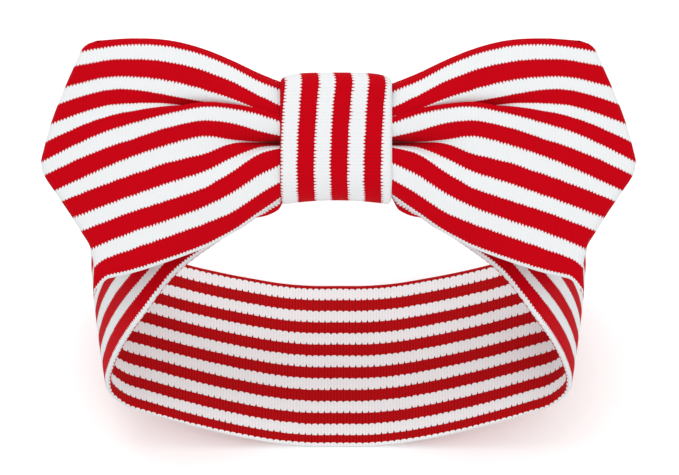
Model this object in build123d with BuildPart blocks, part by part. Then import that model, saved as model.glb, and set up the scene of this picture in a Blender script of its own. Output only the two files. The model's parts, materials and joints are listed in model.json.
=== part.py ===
from build123d import *
import os
from math import cos, radians, sin

# A stretch-jersey headband with a two-wing bow, in millimetres.
#
# The loop stands on the middle of its own back, so the floor is z = 0 and the head passes through
# along y. The bow sits at the top of the loop and leans back, so that it faces forward (-y) and up.
# X runs along the bow. The left side is the mirror image of the right side in the YZ plane.

# Fabric and thread
LAYER = 1.0  # one layer of rib jersey
THREAD = 0.7  # sewing thread, doubled
SLIT = 0.6  # where the stretching arms part from the back of the band

# Band
BAND_WIDTH = 71.0
HALF_BAND = BAND_WIDTH / 2
REST_HALF_LENGTH = 10.0  # the flat patch that the loop stands on
MIDDLE = LAYER  # height of the middle of the two layers above the floor

# Bow
BOW_HEIGHT = 106.0  # knot centre above the floor
BOW_LEAN = 46.0  # the bow faces this far above the horizontal
WING_REACH = 89.0  # knot centre to the point of a wing
WING_HALF_HEIGHT = 30.0
FLEX_FORWARD = 30.0  # how far a wing bends towards the front
FLEX_BACK = 10.0
FLEX_SPARE = 2.0

# Knot, from the outside in
KNOT_WIDTH = 33.0
KNOT_HALF_HEIGHT = 19.5
KNOT_FRONT = 9.4  # from the bow plane to the knot's front
KNOT_BACK = -13.6
KNOT_WALL = 2.0  # the knot strip is two layers
KNOT_CORNER = 5.0
WAIST_HALF_HEIGHT = 16.2
WAIST_FRONT = 6.2
WAIST_BACK = -5.2
WAIST_CORNER = 3.5
BAND_IN_KNOT = -8.5  # middle of the band behind the waist
BAND_HALF_IN_KNOT = 16.2
HINGE_X = KNOT_WIDTH / 2 + 0.5  # a wing bends just outside the knot

bow_plane = Plane(
    origin=(0, 0, BOW_HEIGHT),
    x_dir=(1, 0, 0),
    z_dir=(0, -cos(radians(BOW_LEAN)), sin(radians(BOW_LEAN))),
)


def in_bow(along, up, out):
    """A point given along the bow, up its face and out of its face."""
    return bow_plane.from_local_coords(Vector(along, up, out))


def across_bow(along):
    """The plane across the bow at one place: local x runs up the bow, local y out of its face."""
    up = in_bow(0, 1, 0) - in_bow(0, 0, 0)
    return Plane(origin=in_bow(along, 0, 0), x_dir=up, z_dir=(1, 0, 0))


# ---------------------------------------------------------------- band route
# Front and rear edge of the right half of the band, midway between its two layers.

back_edges = [
    ((0, -HALF_BAND, MIDDLE), (0, HALF_BAND, MIDDLE)),
    ((REST_HALF_LENGTH, -HALF_BAND, MIDDLE), (REST_HALF_LENGTH, HALF_BAND, MIDDLE)),
    ((28, -HALF_BAND, 4.8), (28, HALF_BAND, 4.2)),
    ((46, -HALF_BAND, 11.2), (47, HALF_BAND, 9.5)),
    ((61, -HALF_BAND, 18.2), (65, HALF_BAND, 17.5)),
    ((70.5, -HALF_BAND, 24.5), (78.5, 35, 26)),
    ((73, -HALF_BAND, 30.5), (82.5, 34.5, 35)),
    ((71, -HALF_BAND, 40), (82, 33, 47)),
]
arm_edges = [
    ((66.5, -HALF_BAND, 52.5), (77, 30.5, 63)),
    ((60.5, -34, 62.5), (69, 27.5, 77)),
    ((50.5, -23, 70), (56, 24, 88)),
    ((38, -16, 76.5), (42, 20, 99)),
    (in_bow(26, -24.5, -10.5), in_bow(27, 14, -12)),
    (in_bow(KNOT_WIDTH / 2 + 1, -BAND_HALF_IN_KNOT, BAND_IN_KNOT),
     in_bow(KNOT_WIDTH / 2 + 1, BAND_HALF_IN_KNOT, BAND_IN_KNOT)),
    (in_bow(0, -BAND_HALF_IN_KNOT, BAND_IN_KNOT),
     in_bow(0, BAND_HALF_IN_KNOT, BAND_IN_KNOT)),
]


def mirrored(edges):
    """The same stations on the left side, in the opposite order."""
    flipped = []
    for front, rear in reversed(edges):
        front = Vector(front)
        rear = Vector(rear)
        flipped.append((Vector(-front.X, front.Y, front.Z), Vector(-rear.X, rear.Y, rear.Z)))
    return flipped


def strip_sections(edges):
    """A plane and a width for each station: local x runs across the strip, local y into the loop."""
    ends = [(Vector(front), Vector(rear)) for front, rear in edges]
    middles = [(front + rear) * 0.5 for front, rear in ends]
    sections = []
    for index, (front, rear) in enumerate(ends):
        across = (rear - front).normalized()
        before = middles[max(index - 1, 0)]
        after = middles[min(index + 1, len(middles) - 1)]
        along = after - before
        along = along - across * along.dot(across)
        plane = Plane(origin=middles[index], x_dir=across, z_dir=along)
        sections.append((plane, (rear - front).length))
    return sections


def layer_section(width, through):
    """Section of one layer. Gathered cloth gets thicker as it gets narrower."""
    Rectangle(width, LAYER * BAND_WIDTH / width, align=(Align.CENTER, through))


# The slit stations lie on the run from the last back station to the first arm station.
last_front, last_rear = (Vector(edge) for edge in back_edges[-1])
next_front, next_rear = (Vector(edge) for edge in arm_edges[0])
slit_step = SLIT / (next_front - last_front).length
slit_edges = (
    last_front + (next_front - last_front) * slit_step,
    last_rear + (next_rear - last_rear) * slit_step,
)
right_arm_edges = [slit_edges] + arm_edges
left_arm_edges = mirrored(right_arm_edges)
whole_back_edges = mirrored(back_edges[1:]) + back_edges

back_sections = strip_sections(whole_back_edges)
right_arm_sections = strip_sections(right_arm_edges)
left_arm_sections = strip_sections(left_arm_edges)

OUTWARD = Align.MAX
INWARD = Align.MIN

# ---------------------------------------------------------------- band

with BuildPart() as band_back_outer:
    for plane, width in back_sections:
        with BuildSketch(plane):
            layer_section(width, OUTWARD)
    loft(ruled=True)
band_back_outer.part.label = "band_back_outer"

with BuildPart() as band_back_lining:
    for plane, width in back_sections:
        with BuildSketch(plane):
            layer_section(width, INWARD)
    loft(ruled=True)
band_back_lining.part.label = "band_back_lining"

with BuildPart() as right_arm_outer:
    for plane, width in right_arm_sections:
        with BuildSketch(plane):
            layer_section(width, OUTWARD)
    loft(ruled=True)
right_arm_outer.part.label = "right_arm_outer"

with BuildPart() as right_arm_lining:
    for plane, width in right_arm_sections:
        with BuildSketch(plane):
            layer_section(width, INWARD)
    loft(ruled=True)
right_arm_lining.part.label = "right_arm_lining"

with BuildPart() as left_arm_outer:
    for plane, width in left_arm_sections:
        with BuildSketch(plane):
            layer_section(width, OUTWARD)
    loft(ruled=True)
left_arm_outer.part.label = "left_arm_outer"

with BuildPart() as left_arm_lining:
    for plane, width in left_arm_sections:
        with BuildSketch(plane):
            layer_section(width, INWARD)
    loft(ruled=True)
left_arm_lining.part.label = "left_arm_lining"

# The seam that closes the loop, hidden in the knot: a row of stitches across the joint of the arms.
JOIN_STITCHES = 7
JOIN_STITCH_LENGTH = 5.0
band_layers_in_knot = LAYER * BAND_WIDTH / (2 * BAND_HALF_IN_KNOT)
join_stitch_out = BAND_IN_KNOT - band_layers_in_knot - THREAD / 2

with BuildPart() as band_join_stitches:
    with BuildSketch(across_bow(-JOIN_STITCH_LENGTH / 2)):
        with Locations((0, join_stitch_out)):
            with GridLocations(2 * BAND_HALF_IN_KNOT / JOIN_STITCHES, 0, JOIN_STITCHES, 1):
                Circle(THREAD / 2)
    extrude(amount=JOIN_STITCH_LENGTH)
band_join_stitches.part.label = "band_join_stitches"

# ---------------------------------------------------------------- wings
# Sections across the right wing: place along the bow, lower edge, upper edge, and how far the
# front and the back panel stand off the plane where they meet.

wing_sections = [
    (HINGE_X, -18.0, 17.5, 6.5, 4.0),
    (30, -27.4, 22.6, 7.5, 4.4),
    (45, -35.3, 28.2, 6.0, 4.0),
    (60, -40.2, WING_HALF_HEIGHT, 4.4, 3.2),
    (75, -45.0, WING_HALF_HEIGHT - 1, 3.2, 2.6),
    (WING_REACH + 2, -49.0, WING_HALF_HEIGHT - 2, 2.6, 2.2),
]
RIM = 1.2  # height of a panel at its rim

# The angular end of a wing: upper corner, point, inner corner, and a lower tip that hangs free.
UPPER_CORNER = (77.0, WING_HALF_HEIGHT)
WING_POINT = (WING_REACH, -8.0)
INNER_CORNER = (74.5, -32.5)
LOWER_TIP = (73.5, -50.0)
SEAM_INSET = 1.4
SEAM_ALLOWANCE = 4.0
SEAM_THICKNESS = 0.8
SEAM_TOP = 24.0
SEAM_BOTTOM = -39.0
TRIM_DEPTH = 15.0
CORNER_SLOPE = 6.0  # how far the trim leans in above the upper corner

FRONT = 1
BACK = -1


def wing_section_lines(station, side, inset):
    """Closed outline of half the pillow at one place, set in from the panel's outer face."""
    along, low, high, front, back = station
    crown = side * ((front if side == FRONT else back) - inset)
    rim = side * (RIM - inset)
    foot = -side * inset
    low += inset
    high -= inset
    Line((low, foot), (low, rim))
    ThreePointArc((low, rim), ((low + high) / 2, crown), (high, rim))
    Line((high, rim), (high, foot))
    Line((high, foot), (low, foot))


def half_pillow(side, inset):
    """The space between the bow plane and one panel, trimmed to the angular end."""
    top = WING_HALF_HEIGHT + TRIM_DEPTH
    bottom = LOWER_TIP[1] - TRIM_DEPTH
    with BuildPart() as pillow:
        for station in wing_sections:
            with BuildSketch(across_bow(station[0])):
                with BuildLine():
                    wing_section_lines(station, side, inset)
                make_face()
        loft()
        with BuildSketch(bow_plane.offset(-TRIM_DEPTH)):
            with BuildLine():
                Polyline(
                    (0, bottom),
                    (LOWER_TIP[0] - inset, bottom),
                    (INNER_CORNER[0] - inset, INNER_CORNER[1]),
                    (WING_POINT[0] - inset, WING_POINT[1]),
                    (UPPER_CORNER[0] - inset, UPPER_CORNER[1]),
                    (UPPER_CORNER[0] - inset - CORNER_SLOPE, top),
                    (0, top),
                    close=True,
                )
            make_face()
        extrude(amount=2 * TRIM_DEPTH, mode=Mode.INTERSECT)
    return pillow.part


def relief_plane(side):
    """The mitre at the root of a wing, which leaves room for the wing to bend at the knot."""
    flex = radians((FLEX_FORWARD if side == FRONT else FLEX_BACK) + FLEX_SPARE)
    up = in_bow(0, 1, 0) - in_bow(0, 0, 0)
    clear = in_bow(cos(flex), 0, -side * sin(flex)) - in_bow(0, 0, 0)
    return Plane(origin=in_bow(HINGE_X, 0, 0), x_dir=up, z_dir=clear)


# Each panel is a dish: half the pillow less the space between the panels.
with BuildPart() as right_wing_front_panel:
    add(half_pillow(FRONT, 0))
    add(half_pillow(FRONT, LAYER), mode=Mode.SUBTRACT)
    split(bisect_by=relief_plane(FRONT), keep=Keep.TOP)
right_wing_front_panel.part.label = "right_wing_front_panel"

with BuildPart() as right_wing_back_panel:
    add(half_pillow(BACK, 0))
    add(half_pillow(BACK, LAYER), mode=Mode.SUBTRACT)
    split(bisect_by=relief_plane(BACK), keep=Keep.TOP)
right_wing_back_panel.part.label = "right_wing_back_panel"

# The turned-in seam allowance that joins the panels inside the angular end.
seam_outer = [
    (UPPER_CORNER[0] - SEAM_INSET, SEAM_TOP),
    (WING_POINT[0] - SEAM_INSET, WING_POINT[1]),
    (INNER_CORNER[0] - SEAM_INSET, INNER_CORNER[1]),
    (INNER_CORNER[0] - SEAM_INSET, SEAM_BOTTOM),
]
seam_inner = [(along - SEAM_ALLOWANCE, up) for along, up in reversed(seam_outer)]

with BuildPart() as right_wing_end_seam:
    with BuildSketch(bow_plane.offset(-SEAM_THICKNESS / 2)):
        with BuildLine():
            Polyline(*seam_outer, *seam_inner, close=True)
        make_face()
    extrude(amount=SEAM_THICKNESS)
right_wing_end_seam.part.label = "right_wing_end_seam"

with BuildPart() as left_wing_front_panel:
    mirror(right_wing_front_panel.part, about=Plane.YZ)
left_wing_front_panel.part.label = "left_wing_front_panel"

with BuildPart() as left_wing_back_panel:
    mirror(right_wing_back_panel.part, about=Plane.YZ)
left_wing_back_panel.part.label = "left_wing_back_panel"

with BuildPart() as left_wing_end_seam:
    mirror(right_wing_end_seam.part, about=Plane.YZ)
left_wing_end_seam.part.label = "left_wing_end_seam"

# ---------------------------------------------------------------- waist and its thread

waist_middle = (WAIST_FRONT + WAIST_BACK) / 2
waist_depth = WAIST_FRONT - WAIST_BACK
WAIST_LENGTH = KNOT_WIDTH - 0.4

with BuildPart() as bow_waist:
    with BuildSketch(across_bow(-WAIST_LENGTH / 2)):
        with Locations((0, waist_middle)):
            RectangleRounded(2 * WAIST_HALF_HEIGHT, waist_depth, WAIST_CORNER)
    extrude(amount=WAIST_LENGTH)
bow_waist.part.label = "bow_waist"

THREAD_TURNS = 5
TURN_PITCH = 3.0

with BuildPart() as gathering_thread:
    for turn in range(THREAD_TURNS):
        start = (turn - (THREAD_TURNS - 1) / 2) * TURN_PITCH - THREAD / 2
        with BuildSketch(across_bow(start)):
            with Locations((0, waist_middle)):
                RectangleRounded(
                    2 * (WAIST_HALF_HEIGHT + THREAD),
                    waist_depth + 2 * THREAD,
                    WAIST_CORNER + THREAD,
                )
                RectangleRounded(
                    2 * WAIST_HALF_HEIGHT, waist_depth, WAIST_CORNER, mode=Mode.SUBTRACT
                )
        extrude(amount=THREAD)
gathering_thread.part.label = "gathering_thread"

# Tack stitches fill the gap between the waist and the band, clear of the thread's turns.
TACK_LENGTH = 5.0
TACK_REACH = 10.0
band_top_in_knot = BAND_IN_KNOT + band_layers_in_knot
tack_depth = WAIST_BACK - band_top_in_knot

with BuildPart() as tack_stitches:
    tack_plane = Plane(
        origin=in_bow(0, 0, band_top_in_knot + tack_depth / 2),
        x_dir=(1, 0, 0),
        z_dir=bow_plane.z_dir,
    )
    with Locations(tack_plane):
        with GridLocations(TURN_PITCH * 2, TACK_REACH * 2, 3, 2):
            with Locations((TURN_PITCH / 2, 0)):
                Box(THREAD, TACK_LENGTH, tack_depth)
tack_stitches.part.label = "tack_stitches"

# ---------------------------------------------------------------- knot

knot_middle = (KNOT_FRONT + KNOT_BACK) / 2
knot_depth = KNOT_FRONT - KNOT_BACK

with BuildPart() as knot_wrap:
    with BuildSketch(across_bow(-KNOT_WIDTH / 2)):
        with Locations((0, knot_middle)):
            RectangleRounded(2 * KNOT_HALF_HEIGHT, knot_depth, KNOT_CORNER)
            RectangleRounded(
                2 * (KNOT_HALF_HEIGHT - KNOT_WALL),
                knot_depth - 2 * KNOT_WALL,
                KNOT_CORNER - KNOT_WALL,
                mode=Mode.SUBTRACT,
            )
    extrude(amount=KNOT_WIDTH)
knot_wrap.part.label = "knot_wrap"

# A row of short stitches closes the knot strip on its back, behind the band.
CLOSING_STITCHES = 7
CLOSING_STITCH_LENGTH = 4.0

with BuildPart() as knot_closing_stitches:
    closing_plane = Plane(
        origin=in_bow(0, 0, KNOT_BACK - THREAD / 2), x_dir=(1, 0, 0), z_dir=bow_plane.z_dir
    )
    with Locations(closing_plane):
        with GridLocations(KNOT_WIDTH / (CLOSING_STITCHES + 1), 0, CLOSING_STITCHES, 1):
            Box(THREAD, CLOSING_STITCH_LENGTH, THREAD)
knot_closing_stitches.part.label = "knot_closing_stitches"

# ---------------------------------------------------------------- files

os.makedirs("parts", exist_ok=True)
pieces = [
    band_back_outer,
    band_back_lining,
    right_arm_outer,
    right_arm_lining,
    left_arm_outer,
    left_arm_lining,
    band_join_stitches,
    right_wing_front_panel,
    right_wing_back_panel,
    right_wing_end_seam,
    left_wing_front_panel,
    left_wing_back_panel,
    left_wing_end_seam,
    bow_waist,
    gathering_thread,
    tack_stitches,
    knot_wrap,
    knot_closing_stitches,
]
for piece in pieces:
    export_step(piece.part, f"parts/{piece.part.label}.step")
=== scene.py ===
import json
import math

import bpy
import numpy as np
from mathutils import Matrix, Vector


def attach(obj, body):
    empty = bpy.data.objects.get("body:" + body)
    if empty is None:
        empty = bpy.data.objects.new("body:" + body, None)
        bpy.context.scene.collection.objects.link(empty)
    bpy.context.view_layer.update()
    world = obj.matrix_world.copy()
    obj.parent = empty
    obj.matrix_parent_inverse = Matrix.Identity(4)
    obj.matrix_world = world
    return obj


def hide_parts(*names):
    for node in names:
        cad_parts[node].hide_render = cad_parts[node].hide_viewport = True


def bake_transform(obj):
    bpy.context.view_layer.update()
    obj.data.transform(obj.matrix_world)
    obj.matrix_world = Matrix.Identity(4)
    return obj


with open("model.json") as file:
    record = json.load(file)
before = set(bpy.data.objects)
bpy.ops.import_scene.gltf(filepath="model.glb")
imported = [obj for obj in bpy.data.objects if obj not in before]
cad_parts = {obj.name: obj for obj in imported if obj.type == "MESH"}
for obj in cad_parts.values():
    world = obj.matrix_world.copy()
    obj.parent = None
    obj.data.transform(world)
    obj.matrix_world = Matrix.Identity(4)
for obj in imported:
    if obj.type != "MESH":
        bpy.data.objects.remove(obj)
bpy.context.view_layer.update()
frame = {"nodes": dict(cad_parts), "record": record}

# A striped jersey headband with a two-wing bow. The object's lengths are millimetres and are turned into
# metres where a piece is made. The camera, floor and lights are in metres. The bow has its own axes, taken
# from the wing joints: along it (x), up its face, and out of its face.

MM = 0.001
joints = {joint["name"]: joint for joint in frame["record"]["behaviour"]["joints"]}
left_hinge = joints["left_wing_flex"]
BOW_UP = np.array(left_hinge["axis"], float)
BOW_OUT = np.cross([1.0, 0.0, 0.0], BOW_UP)
KNOT = np.array([0.0, left_hinge["pos_m"][1], left_hinge["pos_m"][2]]) / MM

CLOTH = 0.85  # thickness of one layer of jersey
PITCH = 10.0  # one red and one white stripe
WALE = 1.05  # one column of stitches
COURSE = 0.72  # one row of stitches
UV_UNIT = 100.0  # how much flat cloth one unit of the UV map stands for


def in_bow(along, up, out):
    """Row-frame points, in millimetres, from places along, up and out of the bow."""
    along, up, out = np.broadcast_arrays(along, up, out)
    return (
        KNOT
        + along[..., None] * np.array([1.0, 0.0, 0.0])
        + up[..., None] * BOW_UP
        + out[..., None] * BOW_OUT
    )


# ---------------------------------------------------------------- curves


def smooth_line(at, places, values):
    """A curve through values at places, with no overshoot, read at the places in at."""
    places = np.asarray(places, float)
    values = np.asarray(values, float)
    flat = values.reshape(len(places), -1)
    step = np.diff(places)[:, None]
    rise = np.diff(flat, axis=0) / step
    slope = np.zeros_like(flat)
    same_way = rise[:-1] * rise[1:] > 0
    mean = 2 * rise[:-1] * rise[1:] / np.where(same_way, rise[:-1] + rise[1:], 1.0)
    slope[1:-1] = np.where(same_way, mean, 0.0)
    slope[0], slope[-1] = rise[0], rise[-1]
    return hermite(at, places, flat, slope).reshape(np.shape(at) + values.shape[1:])


def round_line(at, places, values):
    """A rounder curve through values at places, which may overshoot a little, read at at."""
    places = np.asarray(places, float)
    values = np.asarray(values, float)
    flat = values.reshape(len(places), -1)
    slope = np.gradient(flat, places, axis=0)
    return hermite(at, places, flat, slope).reshape(np.shape(at) + values.shape[1:])


def hermite(at, places, flat, slope):
    """The cubic curve through flat at places, with the given slopes, read at at."""
    at = np.clip(np.asarray(at, float), places[0], places[-1])
    i = np.clip(np.searchsorted(places, at, side="right") - 1, 0, len(places) - 2)
    width = places[i + 1] - places[i]
    t = ((at - places[i]) / width)[..., None]
    width = width[..., None]
    return (
        (2 * t**3 - 3 * t**2 + 1) * flat[i]
        + (t**3 - 2 * t**2 + t) * width * slope[i]
        + (3 * t**2 - 2 * t**3) * flat[i + 1]
        + (t**3 - t**2) * width * slope[i + 1]
    )


# ---------------------------------------------------------------- meshes


def grid_faces(rows, columns, first=0, flip=False):
    """Quads of a grid of points numbered row by row from first."""
    number = np.arange(rows * columns).reshape(rows, columns) + first
    corners = number[:-1, :-1], number[:-1, 1:], number[1:, 1:], number[1:, :-1]
    quads = np.stack([corner.ravel() for corner in corners], 1)
    return quads[:, ::-1] if flip else quads


def surface_normals(grid):
    """Unit normals of a grid of points."""
    across = np.gradient(grid, axis=0)
    along = np.gradient(grid, axis=1)
    normal = np.cross(along, across)
    return normal / np.maximum(np.linalg.norm(normal, axis=2, keepdims=True), 1e-9)


def new_piece(name, points, faces, cloth, material, weld=None):
    """A mesh piece from points in millimetres. cloth holds each point's place on the flat fabric.
    weld gives the point that each one is joined to, where the cloth closes on itself."""
    mesh = bpy.data.meshes.new(name)
    joined = faces
    if weld is not None:
        kept, number = np.unique(weld, return_inverse=True)
        points, joined = points[kept], number[faces]
    mesh.from_pydata((points * MM).tolist(), [], joined.tolist())
    layer = mesh.uv_layers.new(name="cloth")
    layer.data.foreach_set("uv", (cloth[faces.ravel()] / UV_UNIT).astype(np.float32).ravel())
    mesh.shade_smooth()
    mesh.materials.append(material)
    piece = bpy.data.objects.new(name, mesh)
    bpy.context.collection.objects.link(piece)
    return piece


def dress(node, material):
    """Gives a kept CAD node its material."""
    slots = frame["nodes"][node].data.materials
    slots.clear()
    slots.append(material)


def cloth_shell(name, outside, cloth, material, thickness=CLOTH, turn=1, ring=False):
    """A layer of cloth: its outer face is the grid, its inner face is set in by the thickness.
    turn is -1 where the grid's normals point into the cloth. A ring's last column is its first again."""
    rows, columns = outside.shape[:2]
    normals = surface_normals(outside) * turn
    if ring:
        wide = np.concatenate([outside[:, -3:-1], outside, outside[:, 1:3]], axis=1)
        normals = surface_normals(wide)[:, 2:-2] * turn
    inside = outside - normals * thickness
    count = rows * columns
    points = np.concatenate([outside.reshape(-1, 3), inside.reshape(-1, 3)])
    both = np.concatenate([cloth.reshape(-1, 2)] * 2)
    flip = turn > 0
    faces = [
        grid_faces(rows, columns, flip=flip),
        grid_faces(rows, columns, first=count, flip=not flip),
    ]
    number = np.arange(count).reshape(rows, columns)
    edges = [(number[0], False), (number[-1], True)]
    if not ring:
        edges += [(number[:, 0], True), (number[:, -1], False)]
    for line, other in edges:
        rim = np.stack([line[:-1], line[1:], line[1:] + count, line[:-1] + count], 1)
        faces.append(rim if other == flip else rim[:, ::-1])
    weld = None
    if ring:
        weld = number.copy()
        weld[:, -1] = weld[:, 0]
        weld = np.concatenate([weld.ravel(), weld.ravel() + count])
    return new_piece(name, points, np.concatenate(faces), both, material, weld)


# ---------------------------------------------------------------- materials


class Nodes:
    """Short names for the shader nodes that the materials use."""

    def __init__(self, name):
        self.material = bpy.data.materials.new(name)
        self.material.use_nodes = True
        self.tree = self.material.node_tree
        self.shader = self.tree.nodes["Principled BSDF"]

    def put(self, socket, value):
        if isinstance(value, bpy.types.NodeSocket):
            self.tree.links.new(value, socket)
        else:
            socket.default_value = value

    def math(self, operation, a, b=0.0, c=0.0, clamp=False):
        node = self.tree.nodes.new("ShaderNodeMath")
        node.operation = operation
        node.use_clamp = clamp
        for socket, value in zip(node.inputs, (a, b, c)):
            self.put(socket, value)
        return node.outputs[0]

    def ramp(self, value, low, high):
        """0 below low, 1 above high, smooth between. low and high may be sockets."""
        node = self.tree.nodes.new("ShaderNodeMapRange")
        node.interpolation_type = "SMOOTHSTEP"
        self.put(node.inputs["Value"], value)
        self.put(node.inputs["From Min"], low)
        self.put(node.inputs["From Max"], high)
        return node.outputs["Result"]

    def mix(self, share, first, second):
        """A colour between first and second."""
        node = self.tree.nodes.new("ShaderNodeMix")
        node.data_type = "RGBA"
        self.put(node.inputs[0], share)
        self.put(node.inputs[6], first)
        self.put(node.inputs[7], second)
        return node.outputs[2]

    def noise(self, vector, scale, detail=2.0):
        node = self.tree.nodes.new("ShaderNodeTexNoise")
        node.inputs["Scale"].default_value = scale
        node.inputs["Detail"].default_value = detail
        self.put(node.inputs["Vector"], vector)
        return node.outputs["Fac"]

    def vector(self, x, y, z=0.0):
        node = self.tree.nodes.new("ShaderNodeCombineXYZ")
        for socket, value in zip(node.inputs, (x, y, z)):
            self.put(socket, value)
        return node.outputs[0]

    def place_on_cloth(self):
        """How far along the stripes and across them a point is, in millimetres."""
        uv = self.tree.nodes.new("ShaderNodeUVMap")
        uv.uv_map = "cloth"
        split = self.tree.nodes.new("ShaderNodeSeparateXYZ")
        self.put(split.inputs[0], uv.outputs[0])
        along = self.math("MULTIPLY", split.outputs[0], UV_UNIT)
        across = self.math("MULTIPLY", split.outputs[1], UV_UNIT)
        return along, across

    def bump(self, height, distance, strength=1.0):
        node = self.tree.nodes.new("ShaderNodeBump")
        node.inputs["Strength"].default_value = strength
        node.inputs["Distance"].default_value = distance
        self.put(node.inputs["Height"], height)
        self.put(self.shader.inputs["Normal"], node.outputs[0])


WHITE, GREY = (0.765, 0.78, 0.79, 1), (0.65, 0.665, 0.68, 1)
# The cloth's red, a darker red, its white, and a greyer white: the darker two give the painted shade in the
# grooves between its stitch columns and along the red's edge, and its uneven tone
FACE = (0.54, 0.0003, 0.006, 1), (0.27, 0.0002, 0.004, 1), WHITE, GREY
LINING = (0.54, 0.004, 0.006, 1), (0.24, 0.002, 0.004, 1), (0.90, 0.90, 0.91, 1), (0.77, 0.775, 0.785, 1)
PINK = (0.80, 0.42, 0.44, 1)  # where red meets white
# the thread's white, and the grey of the painted shade in the grooves of its twist
THREAD_WHITE, THREAD_SHADE = (0.86, 0.87, 0.86, 1), (0.62, 0.63, 0.62, 1)
STRIPE_DRIFT = 0.5  # how far a stripe's edge wanders
TEETH_BACK = 0.3  # the share of the teeth's length that lies on the red side of a stripe's straight edge
EDGE_BLUR = -0.10, 0.16  # where white starts and is full, from the teeth's outline
DEEP_EDGE = 0.6  # how far from white the red is darker, a painted shade of the stitches at the stripe's edge


def jersey(name, end_teeth, start_teeth, spread, colours, every=1, sharp=1.6, rib_share=0.16):
    """Striped jersey. White is the first half of each pitch and red the second. The teeth are how far
    the red runs into the white along the stitch columns, at the end and at the start of a red stripe.
    spread is how far a red stripe runs past its half, every is how many columns make a tooth, sharp is
    how pointed the teeth are, and rib_share is how dark the painted shade in the grooves between the columns
    is."""
    red, deep, white, grey = colours
    n = Nodes(name)
    along, across = n.place_on_cloth()
    place = n.vector(along, across)
    wale = n.math("FRACT", n.math("DIVIDE", along, WALE))
    column = n.math("DIVIDE", along, every * WALE)
    folded = n.math("MULTIPLY_ADD", n.math("FRACT", column), 2.0, -1.0)
    zigzag = n.math("ABSOLUTE", folded)
    drift = n.math("MULTIPLY_ADD", n.noise(place, 0.3), STRIPE_DRIFT, -STRIPE_DRIFT / 2)
    row = n.math("DIVIDE", n.math("ADD", across, drift), PITCH)
    # each tooth has its own length
    own = n.vector(n.math("FLOOR", n.math("ADD", column, 0.5)), n.math("FLOOR", n.math("ADD", row, 0.25)))
    uneven = n.math("MULTIPLY_ADD", n.noise(own, 3.7), 1.5, 0.3)

    # stripes
    phase = n.math("MULTIPLY", n.math("FRACT", row), PITCH)
    reach = n.math("MULTIPLY", n.math("POWER", zigzag, sharp), uneven)
    white_from = n.math("MULTIPLY_ADD", reach, end_teeth, spread - end_teeth * TEETH_BACK)
    white_to = n.math("MULTIPLY_ADD", reach, -start_teeth, PITCH / 2 + start_teeth * TEETH_BACK)
    from_start = n.math("SUBTRACT", phase, white_from)
    to_end = n.math("SUBTRACT", white_to, phase)
    inside = n.math("MINIMUM", from_start, to_end)
    whiteness = n.ramp(inside, *EDGE_BLUR)
    # painted shade: the red is darker within DEEP_EDGE of the white, along the teeth
    red_inside = n.math("MAXIMUM", n.math("MULTIPLY", to_end, -1.0), n.math("MULTIPLY", from_start, -1.0))
    red_inside = n.math("MINIMUM", red_inside, n.math("SUBTRACT", PITCH + spread, phase))
    rim = n.math("SUBTRACT", 1.0, n.ramp(red_inside, 0.0, DEEP_EDGE))

    # knit relief: ribs across the stripes, and a chevron in each stitch
    ridge = n.math("SINE", n.math("MULTIPLY", wale, math.pi))
    stitch = n.math("ADD", n.math("DIVIDE", across, COURSE), n.math("MULTIPLY", zigzag, 0.55))
    loop = n.math("SINE", n.math("MULTIPLY", stitch, 2 * math.pi))
    fuzz = n.noise(place, 5.0, 3.0)
    relief = n.math("ADD", n.math("MULTIPLY", ridge, 0.5), n.math("MULTIPLY", loop, 0.12))
    relief = n.math("ADD", relief, n.math("MULTIPLY", fuzz, 0.35))

    # colour: painted shade in the grooves between the stitch columns and along the red's edge, over a
    # randomly uneven tone
    worn = n.noise(place, 0.05, 3.0)
    # painted shade: the grooves between the columns are darker, and fuzz makes the tone uneven
    shade = n.math("MULTIPLY", n.math("SUBTRACT", 1.0, ridge), rib_share)
    shade = n.math("ADD", shade, n.math("MULTIPLY", n.math("SUBTRACT", fuzz, 0.5), 0.3), clamp=True)
    red_cloth = n.mix(n.math("MULTIPLY", worn, 0.3), red, deep)
    red_cloth = n.mix(n.math("MAXIMUM", shade, n.math("MULTIPLY", rim, 0.45)), red_cloth, deep)
    white_cloth = n.mix(shade, n.mix(n.math("MULTIPLY", worn, 0.25), white, grey), grey)
    edge = n.math("MULTIPLY", n.math("MULTIPLY", whiteness, n.math("SUBTRACT", 1.0, whiteness)), 1.2)
    colour = n.mix(whiteness, red_cloth, white_cloth)
    n.put(n.shader.inputs["Base Color"], n.mix(edge, colour, PINK))
    n.put(n.shader.inputs["Roughness"], n.math("MULTIPLY_ADD", fuzz, 0.2, 0.75))
    n.shader.inputs["Specular IOR Level"].default_value = 0.04
    n.shader.inputs["Sheen Weight"].default_value = 0.02
    n.shader.inputs["Sheen Roughness"].default_value = 0.45
    n.bump(relief, 0.00013, 0.7)
    return n.material


def thread(name):
    """Spun sewing thread with a twist."""
    n = Nodes(name)
    place = n.tree.nodes.new("ShaderNodeTexCoord").outputs["Object"]
    twist = n.tree.nodes.new("ShaderNodeTexWave")
    twist.bands_direction = "DIAGONAL"
    twist.inputs["Scale"].default_value = 900.0
    twist.inputs["Distortion"].default_value = 1.5
    n.put(twist.inputs["Vector"], place)
    fuzz = n.noise(place, 4000.0, 3.0)
    height = n.math("ADD", twist.outputs["Fac"], n.math("MULTIPLY", fuzz, 0.5))
    # painted shade: the grooves of the twist are greyer, and fuzz makes the tone uneven
    n.put(n.shader.inputs["Base Color"], n.mix(height, THREAD_SHADE, THREAD_WHITE))
    n.put(n.shader.inputs["Roughness"], n.math("MULTIPLY_ADD", fuzz, 0.2, 0.5))
    n.shader.inputs["Sheen Weight"].default_value = 0.2
    n.bump(height, 0.00008, 0.7)
    return n.material


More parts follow.
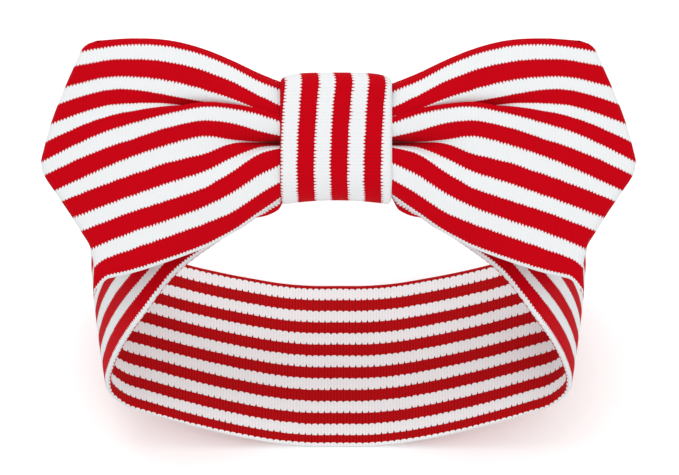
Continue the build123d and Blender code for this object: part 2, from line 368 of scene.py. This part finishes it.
def plain_jersey(name):
    """The white jersey without stripes, for the seams at the wing ends."""
    n = Nodes(name)
    place = n.tree.nodes.new("ShaderNodeTexCoord").outputs["Object"]
    wave = n.tree.nodes.new("ShaderNodeTexWave")
    wave.inputs["Scale"].default_value = 300.0
    n.put(wave.inputs["Vector"], place)
    fuzz = n.noise(place, 3000.0, 3.0)
    height = n.math("ADD", wave.outputs["Fac"], n.math("MULTIPLY", fuzz, 0.6))
    # painted shade: the hollows of the wave are greyer, and fuzz makes the tone uneven
    n.put(n.shader.inputs["Base Color"], n.mix(height, GREY, WHITE))
    n.put(n.shader.inputs["Roughness"], n.math("MULTIPLY_ADD", fuzz, 0.15, 0.75))
    n.shader.inputs["Sheen Weight"].default_value = 0.15
    n.bump(height, 0.00012, 0.6)
    return n.material


bow_jersey = jersey("bow jersey", 0.65, 0.45, 0.4, FACE)
band_jersey = jersey("band jersey", 0.65, 0.5, 0.1, FACE)
lining_jersey = jersey("lining jersey", 1.35, 0.65, 0.0, LINING, every=2, sharp=3.0, rib_share=0.75)
knot_jersey = jersey("knot jersey", 1.15, 0.7, 0.0, FACE)
white_thread = thread("white thread")
seam_jersey = plain_jersey("seam jersey")

# ---------------------------------------------------------------- wings
# The cloth of a wing is followed by lines that run along its stripes. Each line is named by its distance
# down the cloth from the top fold, and lies at these heights on the bow's face at these reaches from the
# knot's middle. Lines 17 to 27 dive under the middle lobe near the knot, and lines 42 to 52 make the
# lower valley. The last number is how far a line dips between the lobes, 1 being the whole way.

ROOT = 15.5  # a wing starts this far from the knot's middle, inside the knot
REACHES = (ROOT, 24, 32, 40, 50, 62)
CLOTH_LINES = {
    0: ((16.2, 19.6, 23.4, 26.7, 29.4, 30.2), 0.0),
    2: ((13.9, 17.3, 21.5, 24.9, 27.6, 28.5), 0.0),
    7: ((8.4, 12.5, 16.7, 19.8, 22.4, 23.6), 0.05),
    12: ((6.0, 8.4, 11.8, 14.5, 17.2, 18.6), 0.05),
    17: ((5.0, 7.6, 9.3, 10.6, 12.4, 14.3), 0.3),
    22: ((3.4, 5.8, 7.4, 8.5, 10.2, 10.5), 1.0),
    27: ((4.2, 6.8, 8.4, 9.6, 9.6, 7.9), 0.55),
    30.5: ((5.7, 8.5, 9.9, 10.6, 9.0, 5.8), 0.0),
    32: ((4.2, 7.1, 8.8, 9.4, 7.7, 4.6), 0.0),
    37: ((-0.2, 1.8, 4.1, 5.0, 3.2, -0.6), 0.15),
    42: ((-1.3, -1.3, -0.6, 0.7, -1.4, -5.3), 0.8),
    47: ((-1.4, -1.4, -1.8, -4.9, -7.3, -11.2), 1.0),
    52: ((-2.3, -2.9, -5.8, -9.7, -12.9, -17.0), 0.6),
    57: ((-3.0, -5.3, -10.5, -15.1, -18.6, -22.4), 0.05),
    62: ((-7.2, -11.1, -16.3, -20.3, -24.0, -28.0), 0.0),
    67: ((-12.5, -17.4, -22.5, -25.9, -29.5, -33.6), 0.0),
    72: ((-16.6, -22.3, -27.7, -31.8, -35.5, -39.4), 0.0),
    74: ((-17.3, -23.2, -28.8, -33.0, -36.9, -40.8), 0.0),
}
BOW_CLOTH = 74.0  # height of the flat cloth
STRIPES_START = 2.0  # the first white stripe starts this far below the top fold
CREASES_PART = 33.0  # the upper valley lies above this line of the cloth, and the lower one below it
# How deep each valley is, by reach
UPPER_CREASE = (ROOT, 34, 45, 55, 66, 90), (1.0, 1.0, 0.85, 0.4, 0.1, 0.0)
LOWER_CREASE = (ROOT, 25, 32, 42, 54, 90), (1.0, 0.8, 0.5, 0.22, 0.06, 0.0)
# How far the front and the back stand off the bow's plane, by reach
CREST = (ROOT, 23, 32, 50, 65, 80, 90), (8.3, 7.6, 6.4, 4.8, 3.2, 2.2, 1.8)
BACK_CREST = (ROOT, 23, 32, 50, 65, 80, 90), (5.4, 4.8, 4.0, 3.4, 2.6, 2.0, 1.8)
BACK_DIP = 0.3  # the back's valleys have this share of the depth
BACK_INSET = 0.6  # the back panel ends this much short of the front's
PROFILE_POWER = (ROOT, 27, 90), (9.0, 4.0, 4.0)  # the wing is boxier where it fills the knot
# The angular end: distance down the cloth, then the reach and the height of its outline.
END_OUTLINE = (
    (0, 73.2, 29.5),
    (0.6, 75.8, 28.7),
    (1.5, 77.5, 27.3),
    (2.5, 78.2, 25.9),
    (7, 80.2, 21.5),
    (12, 82.8, 15.6),
    (22, 87.1, 4.5),
    (29, 89.4, -3.8),
    (32, 90.1, -7.1),
    (35, 89.8, -9.6),
    (37, 89.1, -11.5),
    (42, 86.3, -15.8),
    (47, 83.9, -19.3),
    (52, 80.8, -23.9),
    (57, 78.0, -28.4),
    (62, 75.2, -33.2),
    (67, 74.2, -37.8),
    (70, 74.4, -40.6),
    (72, 74.4, -42.2),
    (74, 74.2, -43.4),
)
BACK_STRIPES = 78.4  # on the back the stripes run the other way, from here
# The lower corner of the end hangs down and back, below this line of the cloth and past this reach
TIP_LINE, TIP_REACH, TIP_LENGTH = 62.0, 69.6, 4.7
TIP_DROP, TIP_BACK, TIP_CURVE = 4.3, 1.2, 1.6
END_ARCH = (2, 12, 24, 37, 42, 60), (0.0, 0.6, 0.8, 0.6, 0.1, 0.0)  # the lines arch up before the end
RIM_ROUND = 2.2  # the panels curve together over this length at the end seam
# Beside the knot the back panel's lower fold rolls down into view: how far, how much of it, and by reach
ROLL_DROP, ROLL_WIDTH = 3.6, 5.5
ROLL_REACH = (ROOT, 18.5, 21.0, 27.0), (0.0, 1.0, 0.9, 0.0)
WING_ROWS = 125
WING_COLUMNS = 110


def wing_grid(side, front):
    """Points and cloth places of one panel of a wing. side is -1 left or 1 right."""
    lines = np.array(list(CLOTH_LINES), float)
    heights = np.array([line[0] for line in CLOTH_LINES.values()], float)
    dips = np.array([line[1] for line in CLOTH_LINES.values()], float)
    down = np.linspace(0.0, BOW_CLOTH, WING_ROWS)
    share = np.linspace(0.0, 1.0, WING_COLUMNS)
    outline = np.array(END_OUTLINE, float)
    if not front:
        outline[:, 1] -= BACK_INSET
    end = smooth_line(down, outline[:, 0], outline[:, 1:])
    line_end = smooth_line(lines, outline[:, 0], outline[:, 1:])
    line_up = np.zeros((len(lines), WING_COLUMNS))
    for i in range(len(lines)):
        reaches = np.append(REACHES, line_end[i, 0])
        ups = np.append(heights[i], line_end[i, 1])
        line_along = ROOT + (line_end[i, 0] - ROOT) * share
        last = ((line_along - REACHES[-1]) / (line_end[i, 0] - REACHES[-1])).clip(0.0, 1.0)
        arched = np.interp(lines[i], *END_ARCH) * np.sin(math.pi * last)
        line_up[i] = round_line(line_along, reaches, ups) + arched
    up = smooth_line(down, lines, line_up)
    along = ROOT + (end[:, :1] - ROOT) * share[None, :]
    tip = ((along - TIP_REACH) / TIP_LENGTH).clip(0.0, 1.0) ** TIP_CURVE
    tip = tip * ((down - TIP_LINE) / (BOW_CLOTH - TIP_LINE)).clip(0.0, 1.0)[:, None]
    up = up - TIP_DROP * tip
    if not front:
        rolled = np.sin(math.pi * ((BOW_CLOTH - down) / ROLL_WIDTH).clip(0.0, 1.0))[:, None]
        up = up - ROLL_DROP * rolled * smooth_line(along, *ROLL_REACH)

    crest = smooth_line(along, *(CREST if front else BACK_CREST))
    power = smooth_line(along, *PROFILE_POWER)
    arch = np.sqrt(1.0 - np.abs(2 * down / BOW_CLOTH - 1.0)[:, None] ** power)
    dip = smooth_line(down, lines, dips)[:, None]
    upper = smooth_line(along, *UPPER_CREASE)
    lower = smooth_line(along, *LOWER_CREASE)
    fade = np.where(down[:, None] < CREASES_PART, upper, lower) * (1.0 if front else BACK_DIP)
    out = crest * arch * (1.0 - dip * fade)
    to_end = (end[:, :1] - along).clip(0.0, RIM_ROUND) / RIM_ROUND
    out = out * np.sqrt(1.0 - (1.0 - to_end) ** 2)
    grid = in_bow(side * along, up, (out if front else -out) - TIP_BACK * tip)

    length = np.linalg.norm(np.diff(grid, axis=1), axis=2).cumsum(axis=1)
    length = np.concatenate([np.zeros((WING_ROWS, 1)), length], axis=1)
    across = down - STRIPES_START if front else BACK_STRIPES - down
    cloth = np.stack([length, np.broadcast_to(across[:, None], length.shape)], 2)
    return grid, cloth


def make_wing(side, name):
    for front in (True, False):
        grid, cloth = wing_grid(side, front)
        node = f"{name}_wing_{'front' if front else 'back'}_panel"
        turn = -side if front else side
        piece = cloth_shell(node + "_cloth", grid, cloth, bow_jersey, turn=turn)
        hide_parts(node)
        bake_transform(piece)
    dress(f"{name}_wing_end_seam", seam_jersey)


# ---------------------------------------------------------------- band

HALF_BAND = 35.5
FACE_WIDTH = 73.3  # over the curve, from fold to fold
# Distances from the front fold, and the places on the striped cloth there: at the middle of the back, and
# on the arms, where the cloth has rolled over the fold a little.
LINING_STRIPES = (0.0, 1.3, 4.4, 14.0, 34.2, 54.8, 73.3), (3.2, 5.0, 10.0, 20.0, 40.0, 60.0, 77.6)
LINING_ON_ARMS = (0.0, 0.5, 4.4, 14.0, 34.2, 54.8, 73.3), (4.4, 5.0, 10.0, 20.0, 40.0, 60.0, 77.6)
OUTER_STRIPES = (0.0, 2.8, 7.8, 12.7, 23.0, 73.3), (2.2, 5.0, 10.0, 15.0, 25.0, 77.4)
OUTER_ON_ARMS = (0.0, 1.7, 7.7, 12.6, 23.4, 73.3), (3.3, 5.0, 10.0, 15.0, 25.0, 76.0)
ROLL_FROM, ROLL_TO = 15.0, 70.0  # how far along the bow from the middle the roll starts and ends
ARMS_FROM = 50.0  # above this height the stripes lie as on the arms
# Front and rear edge of the right half of the band, midway between its layers, close to the frame's.
BAND_EDGES = [
    ((0, -HALF_BAND, 1.0), (0, HALF_BAND, 1.0)),
    ((10, -HALF_BAND, 1.1), (10, HALF_BAND, 1.1)),
    ((20, -HALF_BAND, 2.6), (20, HALF_BAND, 2.3)),
    ((30, -HALF_BAND, 5.3), (30, HALF_BAND, 4.7)),
    ((40, -HALF_BAND, 8.8), (41, HALF_BAND, 7.8)),
    ((51, -HALF_BAND, 13.4), (54, HALF_BAND, 12.4)),
    ((61, -HALF_BAND, 18.2), (66, HALF_BAND, 18.2)),
    ((68.5, -HALF_BAND, 22.6), (76, 35.2, 24.0)),
    ((72.3, -HALF_BAND, 28.2), (81.3, 34.8, 30.5)),
    ((72.6, -HALF_BAND, 34.5), (82.7, 34.2, 38.5)),
    ((71, -HALF_BAND, 41), (82, 33, 47.5)),
    ((66.5, -HALF_BAND, 52.5), (77, 30.5, 63)),
    ((60.5, -34, 62.5), (69, 27.5, 77)),
    ((50.5, -23, 70), (56, 24, 88)),
    ((38, -16, 76.5), (42, 20, 99)),
]
# The same two edges where the band goes under the knot, in the bow's axes
KNOT_ENTRY = (26, -24.5, -10.5), (27, 14, -12)
BEHIND_WAIST = (17.5, -16.2, -8.5), (17.5, 16.2, -8.5)
UNDER_KNOT = (0, -16.2, -8.5), (0, 16.2, -8.5)
BAND_COLUMNS = 420
BAND_ROWS = 90
GATHERED_BY = 38.0  # the cloth is fully gathered where it is this much narrower
LAYER_HALF, GATHERED_HALF = 1.0, 1.0  # half of the band's thickness, and what gathering adds to it
GATHER_WAVES = 6
GATHER_DEPTH = 1.3
# The sides bulge outwards by SIDE_BULGE near SIDE_REACH, over SIDE_SPREAD, up to the height SIDE_TOP.
SIDE_BULGE, SIDE_REACH, SIDE_SPREAD, SIDE_TOP = 1.4, 76.0, 16.0, 75.0


def band_path():
    """Front and rear edge all the way round, closed at the knot."""
    half = [(np.array(front, float), np.array(rear, float)) for front, rear in BAND_EDGES]
    for front, rear in (KNOT_ENTRY, BEHIND_WAIST, UNDER_KNOT):
        half.append((in_bow(*front), in_bow(*rear)))
    mirror = np.array([-1.0, 1.0, 1.0])
    left = [(front * mirror, rear * mirror) for front, rear in reversed(half)]
    ring = np.array(left + half[1:])
    middle = ring.mean(axis=1)
    place = np.concatenate([[0.0], np.linalg.norm(np.diff(middle, axis=0), axis=1).cumsum()])
    at = np.linspace(0.0, place[-1], BAND_COLUMNS)
    return round_line(at, place, ring), at


def band_grid(inner):
    """One face of the band, from the front fold to the rear fold."""
    edges, at = band_path()
    front, rear = edges[:, 0], edges[:, 1]
    middle = (front + rear) / 2
    width = np.linalg.norm(rear - front, axis=1, keepdims=True)
    across = (rear - front) / width
    along = np.gradient(middle, axis=0)
    along[0] = along[-1] = [1.0, 0.0, 0.0]
    inward = np.cross(along, across)
    inward /= np.linalg.norm(inward, axis=1, keepdims=True)

    gathered = np.clip((2 * HALF_BAND - width[:, 0]) / GATHERED_BY, 0.0, 1.0)
    half_thick = LAYER_HALF + GATHERED_HALF * gathered
    travel = np.linspace(0.0, FACE_WIDTH, BAND_ROWS)[:, None]
    fold = half_thick * math.pi / 2
    turn_front = np.clip(travel / fold, 0.0, 1.0) * math.pi / 2
    turn_rear = np.clip((FACE_WIDTH - travel) / fold, 0.0, 1.0) * math.pi / 2
    flat_share = np.clip((travel - fold) / (FACE_WIDTH - 2 * fold), 0.0, 1.0)
    place = half_thick * (1 - np.cos(turn_front)) - half_thick * (1 - np.cos(turn_rear))
    flat_width = width[:, 0] - 2 * half_thick
    place = place + flat_share * flat_width + half_thick
    height = half_thick * np.minimum(np.sin(turn_front), np.sin(turn_rear))

    share = travel / FACE_WIDTH
    away = np.sin(math.pi * share)
    gathers = GATHER_DEPTH * gathered * np.sin(2 * math.pi * GATHER_WAVES * share) * np.sqrt(away.clip(0, 1))
    reach = np.abs(middle[:, 0])
    sides = np.exp(-(((reach - SIDE_REACH) / SIDE_SPREAD) ** 2)) * (middle[:, 2] < SIDE_TOP)
    bulge = -SIDE_BULGE * sides * away
    sign = 1.0 if inner else -1.0
    offset = sign * height + gathers + bulge
    grid = front[None] + across[None] * place[..., None] + inward[None] * offset[..., None]
    rolled = ((reach - ROLL_FROM) / (ROLL_TO - ROLL_FROM)).clip(0.0, 1.0)
    rolled = np.where(middle[:, 2] > ARMS_FROM, 1.0, rolled)
    stripes = np.interp(travel, *(LINING_STRIPES if inner else OUTER_STRIPES))
    on_arms = np.interp(travel, *(LINING_ON_ARMS if inner else OUTER_ON_ARMS))
    stripes = stripes + (on_arms - stripes) * rolled
    cloth = np.stack(np.broadcast_arrays(at[None, :], stripes if inner else PITCH / 2 - stripes), 2)
    return grid, cloth


def make_band():
    for inner, layer, material in ((False, "outer", band_jersey), (True, "lining", lining_jersey)):
        grid, cloth = band_grid(inner)
        name = f"band_{layer}_cloth"
        piece = cloth_shell(name, grid, cloth, material, turn=1 if inner else -1, ring=True)
        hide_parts(f"band_back_{layer}", f"left_arm_{layer}", f"right_arm_{layer}")
        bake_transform(piece)


# ---------------------------------------------------------------- knot

# The knot's section and place, in the bow's axes
KNOT_MIDDLE = -0.75
KNOT_HALF_WIDTH = 16.75
KNOT_HALF_HEIGHT = 19.5
KNOT_FRONT = 9.4
KNOT_BACK = -13.6
KNOT_ROUND, KNOT_LOW_ROUND = 5.0, 9.0
KNOT_CORNER_POINTS = 12
KNOT_RIM = 1.3  # how round the side edges are
KNOT_DISH, KNOT_SWELL = 0.35, 0.9  # the cloth falls away to the sides, and stands out in front
KNOT_CROWDING = 1.3  # above 1, the rows are closer together near the side edges
KNOT_WALL = 1.8  # the folded strip's thickness
KNOT_CLOTH = 33.0  # width of the flat strip
KNOT_LEAN = 0.0487, 0.0019  # the knot's stripes lean and bow a little
KNOT_STRIPES_START = -17.1  # a white stripe starts here, beside the left rim
KNOT_SAG, KNOT_PINCH = 1.0, 1.7  # the lower edge hangs, and its middle is pulled up
KNOT_SHOULDER = 1.7  # the upper corners slope
KNOT_ROWS = 61
KNOT_COLUMNS = 240
WAIST_ROWS = 16


def knot_loop(count):
    """Points round the knot's rounded section, up and out, starting at the back, with their travel."""
    corners = [
        (KNOT_HALF_HEIGHT, KNOT_BACK, KNOT_ROUND),
        (KNOT_HALF_HEIGHT, KNOT_FRONT, KNOT_ROUND),
        (-KNOT_HALF_HEIGHT, KNOT_FRONT, KNOT_LOW_ROUND),
        (-KNOT_HALF_HEIGHT, KNOT_BACK, KNOT_ROUND),
    ]
    points = [(0.0, KNOT_BACK)]
    for number, (up, out, radius) in enumerate(corners):
        centre_up = up - math.copysign(radius, up)
        centre_out = out - math.copysign(radius, out)
        for step in np.linspace(-1.0, 0.0, KNOT_CORNER_POINTS):
            angle = math.pi / 2 * (number + step)
            points.append((centre_up + radius * math.cos(angle), centre_out + radius * math.sin(angle)))
    points.append((0.0, KNOT_BACK))
    points = np.array(points)
    travel = np.concatenate([[0.0], np.linalg.norm(np.diff(points, axis=0), axis=1).cumsum()])
    at = np.linspace(0.0, travel[-1], count)
    loop = np.stack([np.interp(at, travel, points[:, k]) for k in (0, 1)], 1)
    return loop, at


def knot_grid():
    """Outer face of the knot, its places on the cloth, and the length of the way round."""
    loop, at = knot_loop(KNOT_COLUMNS)
    tangent = np.roll(loop[:-1], -1, axis=0) - np.roll(loop[:-1], 1, axis=0)
    tangent = np.concatenate([tangent, tangent[:1]])
    outward = np.stack([tangent[:, 1], -tangent[:, 0]], 1)
    outward /= np.linalg.norm(outward, axis=1, keepdims=True)
    across = np.linspace(-1.0, 1.0, KNOT_ROWS)
    across = np.sign(across) * (1 - (1 - np.abs(across)) ** KNOT_CROWDING)
    x = across * KNOT_HALF_WIDTH
    to_rim = ((np.abs(x) - (KNOT_HALF_WIDTH - KNOT_RIM)) / KNOT_RIM).clip(0.0, 1.0)
    sink = KNOT_RIM * (1 - np.sqrt(1 - to_rim**2)) + KNOT_DISH * across**2
    up = loop[None, :, 0] - outward[None, :, 0] * sink[:, None]
    out = loop[None, :, 1] - outward[None, :, 1] * sink[:, None]
    frontness = (out / KNOT_FRONT).clip(0, 1) ** 2
    out = out + KNOT_SWELL * frontness * np.cos(np.clip(up / KNOT_HALF_HEIGHT, -1, 1) * math.pi / 2)
    low = (-up / KNOT_HALF_HEIGHT).clip(0, 1) ** 3
    high = (up / KNOT_HALF_HEIGHT).clip(0, 1) ** 3
    moved = (KNOT_PINCH * (1 - across[:, None] ** 2) - KNOT_SAG) * low
    moved = moved - KNOT_SHOULDER * high * across[:, None] ** 6
    grid = in_bow(KNOT_MIDDLE + x[:, None], up + moved, out)
    leaned = KNOT_MIDDLE + x[:, None] - (KNOT_LEAN[0] * up + KNOT_LEAN[1] * up**2) * frontness
    cloth = np.stack([np.broadcast_to(at[None, :], up.shape), leaned - KNOT_STRIPES_START], 2)
    return grid, cloth, float(at[-1])


def make_knot():
    grid, cloth, way_round = knot_grid()
    piece = cloth_shell("knot_wrap_cloth", grid, cloth, knot_jersey, KNOT_WALL, ring=True)
    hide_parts("knot_wrap")
    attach(piece, "bow_core")


def make_waist():
    """The pinched cloth inside the knot: the wings' profile carried straight through."""
    front, front_cloth = wing_grid(1, True)
    back, back_cloth = wing_grid(1, False)
    profile = np.concatenate([front[:, 0], back[::-1, 0], front[:1, 0]])
    across = np.concatenate([front_cloth[:, 0, 1], back_cloth[::-1, 0, 1], front_cloth[:1, 0, 1]])
    x = np.linspace(-ROOT, ROOT, WAIST_ROWS)
    grid = np.repeat(profile[None, :, :], WAIST_ROWS, axis=0)
    grid[:, :, 0] = x[:, None]
    cloth = np.stack(np.broadcast_arrays(x[:, None], across[None, :]), 2)
    piece = cloth_shell("bow_waist_cloth", grid, cloth, bow_jersey, ring=True)
    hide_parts("bow_waist")
    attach(piece, "bow_core")


# ---------------------------------------------------------------- stitches

STITCHES = 7
STITCH_LENGTH = 4.0
STITCH_RADIUS = 0.35
STITCH_POINTS = 6
STITCH_TILT, TILT_STEP = 0.5, 2.1  # how far a stitch leans at most, and how that goes from one to the next
STITCH_PROUD, STITCH_DIVE = 0.25, 0.6  # how far a stitch stands off the knot, and how far its ends dive


def make_closing_stitches():
    """Short ladder stitches on the back of the knot, each a bowed length of thread."""
    curve = bpy.data.curves.new("knot_closing_stitches_thread", "CURVE")
    curve.dimensions = "3D"
    curve.bevel_depth = STITCH_RADIUS * MM
    curve.bevel_resolution = 4
    curve.use_fill_caps = True
    for number in range(STITCHES):
        x = (number - (STITCHES - 1) / 2) * KNOT_CLOTH / (STITCHES + 1)
        tilt = STITCH_TILT * math.sin(number * TILT_STEP)
        spline = curve.splines.new("NURBS")
        steps = np.linspace(-1.0, 1.0, STITCH_POINTS)
        out = KNOT_BACK + STITCH_DIVE * steps**6 - STITCH_PROUD
        points = in_bow(x + tilt * steps, steps * STITCH_LENGTH / 2, out)
        spline.points.add(len(points) - 1)
        for point, place in zip(spline.points, points * MM):
            point.co = (*place, 1.0)
        spline.order_u = 3
        spline.use_endpoint_u = True
    piece = bpy.data.objects.new(curve.name, curve)
    bpy.context.collection.objects.link(piece)
    curve.materials.append(white_thread)
    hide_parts("knot_closing_stitches")
    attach(piece, "bow_core")


def dress_hidden_threads():
    for node in ("band_join_stitches", "gathering_thread", "tack_stitches"):
        dress(node, white_thread)


# ---------------------------------------------------------------- camera, floor and light

CAMERA_PLACE = (0.0003, -0.4626, 0.5416)
CAMERA_DOWN = math.radians(46.0)
CAMERA_LENS = 111.07
FLOOR_HALF = 6.0
FLOOR_TONES = (0.945, 0.945, 0.945, 1), (0.955, 0.955, 0.955, 1)
FLOOR_GLOW = 0.14
HORIZON_LIGHT, ZENITH_LIGHT = 0.68, 1.0
LIGHTS_AIM = (0.0, 0.0, 0.06)
KEY_PLACE, KEY_SIZE, KEY_POWER = (-0.15, 0.1, 1.1), 0.7, 2.5
FRONT_PLACE, FRONT_SIZE, FRONT_POWER = (0.25, -0.8, 0.9), 0.8, 2.0


def make_camera():
    data = bpy.data.cameras.new("camera")
    data.lens = CAMERA_LENS
    data.sensor_width = 36.0
    data.clip_start = 0.01
    camera = bpy.data.objects.new("camera", data)
    camera.location = CAMERA_PLACE
    camera.rotation_euler = (math.pi / 2 - CAMERA_DOWN, 0.0, 0.0)
    bpy.context.collection.objects.link(camera)
    bpy.context.scene.camera = camera


def make_floor():
    mesh = bpy.data.meshes.new("floor")
    signs = (-1, -1), (1, -1), (1, 1), (-1, 1)
    corners = [(x * FLOOR_HALF, y * FLOOR_HALF, 0) for x, y in signs]
    mesh.from_pydata(corners, [], [(0, 1, 2, 3)])
    n = Nodes("pale floor")
    place = n.tree.nodes.new("ShaderNodeTexCoord").outputs["Object"]
    grain = n.noise(place, 30.0, 2.0)
    n.put(n.shader.inputs["Base Color"], n.mix(grain, *FLOOR_TONES))
    n.shader.inputs["Roughness"].default_value = 0.9
    n.shader.inputs["Emission Color"].default_value = (1.0, 1.0, 1.0, 1.0)
    n.shader.inputs["Emission Strength"].default_value = FLOOR_GLOW
    mesh.materials.append(n.material)
    floor = bpy.data.objects.new("floor", mesh)
    bpy.context.collection.objects.link(floor)


def area_light(name, place, size, power):
    data = bpy.data.lights.new(name, "AREA")
    data.shape = "DISK"
    data.size = size
    data.energy = power
    light = bpy.data.objects.new(name, data)
    light.location = place
    direction = Vector(LIGHTS_AIM) - Vector(place)
    light.rotation_euler = direction.to_track_quat("-Z", "Y").to_euler()
    bpy.context.collection.objects.link(light)


def make_light():
    world = bpy.data.worlds.new("studio")
    world.use_nodes = True
    nodes, links = world.node_tree.nodes, world.node_tree.links
    where = nodes.new("ShaderNodeTexCoord")
    height = nodes.new("ShaderNodeSeparateXYZ")
    sky = nodes.new("ShaderNodeMapRange")
    sky.inputs["From Min"].default_value = 0.0
    sky.inputs["From Max"].default_value = 1.0
    sky.inputs["To Min"].default_value = HORIZON_LIGHT
    sky.inputs["To Max"].default_value = ZENITH_LIGHT
    links.new(where.outputs["Generated"], height.inputs[0])
    links.new(height.outputs["Z"], sky.inputs["Value"])
    links.new(sky.outputs["Result"], nodes["Background"].inputs["Strength"])
    nodes["Background"].inputs["Color"].default_value = (1.0, 1.0, 1.0, 1.0)
    bpy.context.scene.world = world
    bpy.context.scene.view_settings.view_transform = "Standard"
    area_light("key", KEY_PLACE, KEY_SIZE, KEY_POWER)
    area_light("front", FRONT_PLACE, FRONT_SIZE, FRONT_POWER)


make_camera()
make_floor()
make_light()
make_band()
make_wing(-1, "left")
make_wing(1, "right")
make_waist()
make_knot()
make_closing_stitches()
dress_hidden_threads()
